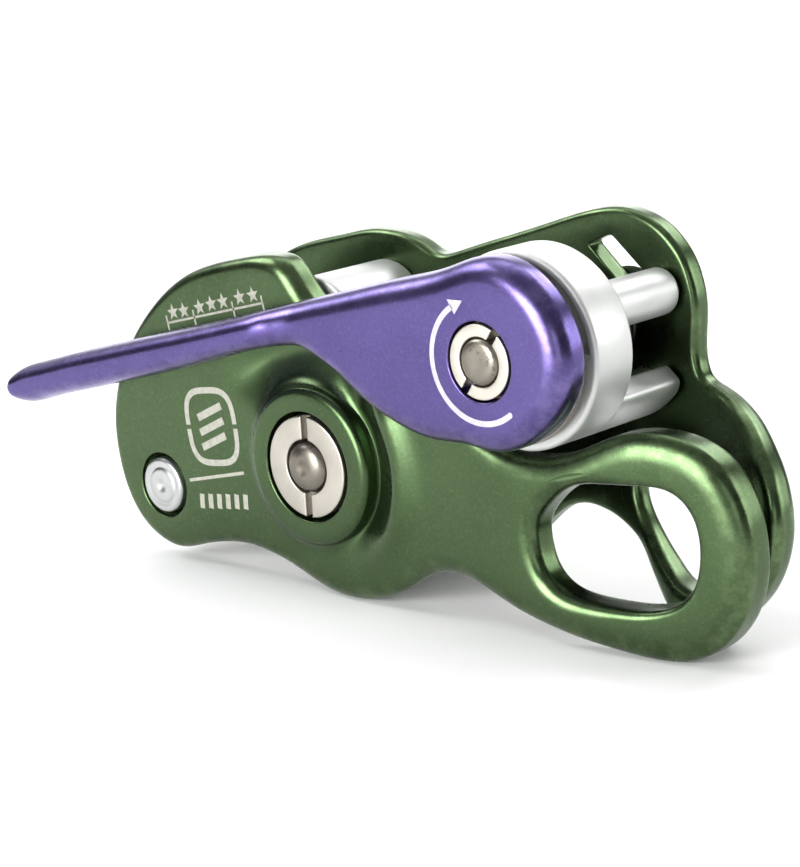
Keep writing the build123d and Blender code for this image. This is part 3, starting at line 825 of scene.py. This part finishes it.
b = Builder()
half_ring(b, AX, AZ, 4.25, 2.82, -6.3, -4.66, 0.9, 56, 0.15)
lathe(b, AX, AZ, [(2.82, -4.7), (4.2, -4.7), (4.2, -4.4), (2.82, -4.4)], 96)
o = b.mesh("axle_ring_nut", NUTM, 40)
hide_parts("axle_nut"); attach(o, "frame")

b = Builder()
prof = [(0, -6.60), (0.5, -6.58), (0.9, -6.62), (1.5, -6.62), (2.0, -6.57), (2.35, -6.45), (2.58, -6.24), (2.70, -5.95), (2.73, -5.7),
        (2.75, -5.55), (2.76, -5.4), (2.76, -4.4), (0, -4.4)]
lathe(b, AX, AZ, prof, 96)
o = b.mesh("axle_peened_pin", PINM, 50)
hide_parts("axle_pin"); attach(o, "frame")

b = Builder()
prof = [(0, -0.12), (0.45, -0.14), (0.8, -0.30), (1.1, -0.35), (1.9, -0.35), (2.15, -0.30), (2.3, -0.20), (2.5, -0.18), (2.75, -0.26),
        (3.1, -0.30), (3.4, -0.22), (3.56, -0.02), (3.6, 0.25), (3.6, 0.8), (1.8, 0.8), (1.8, 6.4), (0, 6.4)]
lathe(b, RX, RZ, prof, 96)
o = b.mesh("catch_rivet_turned", RIVM, 50)
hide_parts("catch_rivet"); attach(o, "front_side")

b = Builder()
lathe(b, RX, RZ, arc_profile([(1.8, 4.4), (3.2, 4.4), (3.2, 17.6), (0, 17.6)], 0.35)[:-1] + [(0, 17.6), (0, 6.4), (1.8, 6.4)], 72, close=True)
o = b.mesh("catch_post_turned", SHAFT, 40)
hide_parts("catch_post"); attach(o, "front_side")

b = Builder()
lathe(b, GX, GZ, arc_profile([(0, 4.85), (5.5, 4.85), (5.5, 11), (5.5, 18.0), (0, 18.0)], 0.6, 5), 120)
o = b.mesh("guide_post_turned", CAST, 40)
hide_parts("guide_post"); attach(o, "frame")

b = Builder()
ring_pr = arc_profile([(4.4, -1.15), (4.4, -1.5), (10.4, -1.5), (10.4, -0.8), (4.4, -0.8), (4.4, -1.15)], 0.12, 3)
lathe(b, AX, AZ, ring_pr[:-1], 144)
o = b.mesh("spacer_washer_turned", WASH, 40)
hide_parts("spacer_washer"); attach(o, "lever_unit")


def rear_dome(name, node, x, z, r, h, y0=21.0):
    b = Builder()
    rs = (r * r + h * h) / (2 * h)
    prof = []
    for t in np.linspace(0, 1, 12):
        q = r * 0.985 * t
        prof.append((q, y0 + h - (rs - math.sqrt(rs * rs - q * q))))
    prof += [(r, y0 + 0.12), (r, y0), (0, y0)]
    prof[0] = (0, y0 + h)
    lathe(b, x, z, prof[::-1], 96)
    o = b.mesh(name, SHAFT, 45)
    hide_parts(node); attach(o, "frame")


rear_dome("pivot_rear_head_peened", "pivot_rear_head", PX, PZ, 6.5, 1.28)
rear_dome("axle_rear_head_peened", "axle_rear_head", AX, AZ, 6.0, 1.28)

# cam_spring and lever_spring take the near-black wire, whose colour is painted shade
for node, mat in {"pivot_post": SHAFT, "guide_rivet": SHAFT, "cam_axle": SHAFT, "cam_stop_pin": SHAFT, "wave_washer": WASH,
                  "lever_lug": SHAFT, "cam_spring": SPRING_SHADE_WIRE, "lever_spring": SPRING_SHADE_WIRE, "pivot_bush": BRONZE,
                  "lever_bush": BRONZE, "cam_bush": BRONZE}.items():
    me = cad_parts[node].data
    me.materials.clear(); me.materials.append(mat)


# ------------------------------------------------------------------ marks cut by laser
def mark(name, polys, surf, lift, body, mat, thick=0.05):
    b = Builder()
    for P in polys:
        P = ccw(np.asarray(P, float))
        y = surf(P[:, 0], P[:, 1])
        A = b.add(np.stack([P[:, 0], y - lift, P[:, 1]], 1), 0.0)
        B = b.add(np.stack([P[:, 0], y - lift + thick, P[:, 1]], 1), 0.0)
        b.strip(B, A)
        b.cap([A], None, lambda x, z: surf(x, z) - lift, grid=50)
        b.cap([B], None, lambda x, z: surf(x, z) - lift + thick, grid=50, flip=True)
    o = b.mesh(name, mat)
    for p in o.data.polygons:
        p.use_smooth = False
    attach(o, body)
    return o


def bar(p, q, w):
    p, q = np.array(p, float), np.array(q, float)
    d = (q - p) / np.linalg.norm(q - p)
    n = np.array([-d[1], d[0]]) * w / 2
    return [p - n, q - n, q + n, p + n]


def star(c, r, rot):
    return [(c[0] + (r if i % 2 == 0 else 0.42 * r) * math.cos(math.radians(rot + 36 * i)),
             c[1] + (r if i % 2 == 0 else 0.42 * r) * math.sin(math.radians(rot + 36 * i))) for i in range(10)]


def stroke(pts, w):
    P = np.array(pts, float)
    t = np.gradient(P, axis=0)
    t /= np.linalg.norm(t, axis=1)[:, None]
    n = np.stack([-t[:, 1], t[:, 0]], 1) * w / 2
    return list(map(tuple, P + n)) + list(map(tuple, (P - n)[::-1]))


tilt = math.degrees(math.atan2(35.64 - 31.41, -21.70 + 39.18))
S0, S1 = np.array([-39.18, 31.41]), np.array([-21.70, 35.64])
sd = (S1 - S0) / np.linalg.norm(S1 - S0)
sn = np.array([-sd[1], sd[0]])
polys = [bar(S0, S1, 0.28)]
for t in (0.0, (-34.14 + 39.18) / 17.48, (-26.92 + 39.18) / 17.48, 1.0):
    c = S0 + (S1 - S0) * t
    polys.append(bar(c - sn * 0.95, c + sn * 0.95, 0.28))
for c in [(-38.07, 32.92), (-36.04, 33.32), (-33.07, 34.04), (-30.91, 34.66), (-28.76, 35.18), (-25.72, 35.97), (-23.34, 36.51)]:
    polys.append(star(c, 1.08, 90 + tilt))
polys.append(bar((-37.32, 11.22), (-27.15, 13.6), 0.42))
# plain pictogram: a rounded frame around a strand of rope, with a row of bars under it
ca, sa = math.cos(math.radians(tilt - 6)), math.sin(math.radians(tilt - 6))


def place(u, v, c=(-32.45, 18.85)):
    return (c[0] + u * ca - v * sa, c[1] + u * sa + v * ca)


def squircle(t, r=4.3, p_=3.4):
    c_, s_ = math.cos(t), math.sin(t)
    k = r / (abs(c_) ** p_ + abs(s_) ** p_) ** (1 / p_)
    return place(k * c_, 1.08 * k * s_)


for t0_, t1_ in ((0.06, math.pi - 0.06), (math.pi + 0.06, 2 * math.pi - 0.06)):
    polys.append(stroke([squircle(t) for t in np.linspace(t0_, t1_, 60)], 0.8))
for v_ in (-1.9, 0.0, 1.9):
    polys.append(bar(place(-2.3, v_ - 0.75), place(2.3, v_ + 0.75), 0.95))
for k in range(6):
    c = place(-3.9 + 1.62 * k, 0.0, (-31.35, 9.3))
    polys.append(bar((c[0], c[1] - 0.95), (c[0], c[1] + 0.95), 0.85))
mark("side_plate_marks", polys, front_face, 0.03, "front_side", MARK)

# ------------------------------------------------------------------ direction arrow on the lever hub
arc_r, arc_w = 6.86, 0.66
a0, a1 = -52.0, -238.5
out, inn = [], []
for t in np.linspace(a0, a1, 80):
    out.append(polar(arc_r + arc_w / 2, t)); inn.append(polar(arc_r - arc_w / 2, t))
tail_c = np.array(polar(arc_r, a0))
tail = [tuple(tail_c + arc_w / 2 * np.array([math.cos(q), math.sin(q)])) for q in
        (math.radians(a0) + math.pi - np.linspace(0, math.pi, 9))[1:-1]]
arrow = [out + inn[::-1] + tail]
tip, bl, br = polar(arc_r + 0.1, a1 - 15), polar(arc_r + 1.0, a1 + 1), polar(arc_r - 0.9, a1 + 1)
arrow.append([bl, tip, br])
mark("lever_arrow_mark", arrow, lever_front, 0.03, "lever_unit", MARKW)

# ------------------------------------------------------------------ floor, light, camera
fm, fnt, fb = node_mat("studio_floor")
fco = fnt.nodes.new("ShaderNodeTexCoord").outputs["Object"]
fnt.links.new(ramp(fnt, noise(fnt, fco, 6.0, 2.0), [(0.3, (0.90, 0.90, 0.90)), (0.7, (0.93, 0.93, 0.93))]), fb.inputs["Base Color"])
fb.inputs["Roughness"].default_value = 0.9
fb.inputs["Specular IOR Level"].default_value = 0.1
view = Vector((-0.6919, 0.7220, 0.0))          # horizontal view direction
side = Vector((0.7220, 0.6919, 0.0))
prof = [(-0.75, 0.0), (-0.4, 0.0), (0.0, 0.0), (0.30, 0.0), (0.55, 0.0)]
prof += [(0.55 + 0.30 * math.sin(t), 0.30 * (1 - math.cos(t))) for t in np.linspace(0.08, math.pi / 2, 18)]
prof += [(0.85, 0.60), (0.85, 0.95)]
fv, ff = [], []
for d_, h_ in prof:
    for w_ in np.linspace(-0.9, 0.9, 13):
        p_ = view * d_ + side * w_
        fv.append((p_.x, p_.y, h_ - 0.0001))
for i_ in range(len(prof) - 1):
    for k_ in range(12):
        q = i_ * 13 + k_
        ff.append((q, q + 1, q + 14, q + 13))
fme = bpy.data.meshes.new("paper_sweep")
fme.from_pydata(fv, [], ff)
fme.polygons.foreach_set("use_smooth", [True] * len(ff))
fme.materials.append(fm)
floor = bpy.data.objects.new("paper_sweep", fme)
bpy.context.scene.collection.objects.link(floor)

world = bpy.data.worlds.new("studio")
bpy.context.scene.world = world
world.use_nodes = True
wn = world.node_tree
bg = wn.nodes["Background"]
tc = wn.nodes.new("ShaderNodeTexCoord")
sp = wn.nodes.new("ShaderNodeSeparateXYZ")
wn.links.new(tc.outputs["Generated"], sp.inputs[0])
cr = wn.nodes.new("ShaderNodeValToRGB")
els = cr.color_ramp.elements
els[0].position, els[0].color = 0.0, (0.10, 0.10, 0.10, 1)
els[1].position, els[1].color = 1.0, (0.75, 0.75, 0.75, 1)
e2 = els.new(0.35); e2.color = (0.22, 0.22, 0.22, 1)
wn.links.new(sp.outputs["Z"], cr.inputs["Fac"])
wn.links.new(cr.outputs["Color"], bg.inputs["Color"])
bg.inputs["Strength"].default_value = 0.70


def area_light(name, loc, target, size, power, size_y=None):
    l = bpy.data.lights.new(name, "AREA")
    l.energy = power
    l.size = size
    if size_y:
        l.shape = "RECTANGLE"; l.size_y = size_y
    ob = bpy.data.objects.new(name, l)
    bpy.context.scene.collection.objects.link(ob)
    ob.location = loc
    d = Vector(target) - Vector(loc)
    ob.rotation_euler = d.to_track_quat("-Z", "Y").to_euler()
    return ob


area_light("top_box", (-0.16, 0.12, 0.60), (0, 0, 0.0), 0.50, 0.7, 0.42)
area_light("left_top_box", (-0.38, -0.16, 0.40), (0, 0, 0.02), 0.26, 1.45, 0.22)
area_light("left_box", (-0.45, -0.07, 0.33), (0, 0, 0.02), 0.26, 0.15, 0.22)
area_light("front_box", (-0.07, -0.42, 0.10), (0, 0, 0.02), 0.13, 1.7, 0.24)
area_light("front_right_box", (0.05, -0.45, 0.12), (0, 0, 0.02), 0.13, 1.4, 0.24)
area_light("camera_side_box", (0.40, -0.38, 0.12), (0, 0, 0.02), 0.18, 0.25, 0.22)
area_light("back_right_box", (0.42, 0.36, 0.17), (0, 0, 0.02), 0.30, 1.15, 0.26)
area_light("back_top_box", (0.06, 0.45, 0.45), (0, 0, 0.02), 0.30, 1.5, 0.22)
area_light("rim_box", tuple(view * 0.72 + Vector((0, 0, 0.30))), (0, 0, 0.03), 0.50, 1.3, 0.34)
area_light("sweep_light", tuple(view * 0.35 + Vector((0, 0, 0.75))), tuple(view * 0.70), 0.70, 1.4, 0.40)

right = Vector((0.73048089, 0.68072087, -0.05492513))
up = Vector((-0.12793182, 0.21539715, 0.96811028))
back = Vector((0.67084359, -0.70015939, 0.24442936))
C = Vector(((202.81317811 + SX) * 0.001, (-211.67609335 + SY) * 0.001, 96.14724929 * 0.001))
cd = bpy.data.cameras.new("camera")
cd.lens = 2600.0 * 36.0 / 867.0
cd.sensor_width = 36.0
cd.clip_start, cd.clip_end = 0.01, 20.0
cam_ob = bpy.data.objects.new("camera", cd)
bpy.context.scene.collection.objects.link(cam_ob)
M = Matrix((right, up, back)).transposed().to_4x4()
M.translation = C
cam_ob.matrix_world = M
bpy.context.scene.camera = cam_ob
bpy.context.scene.view_settings.view_transform = "Standard"
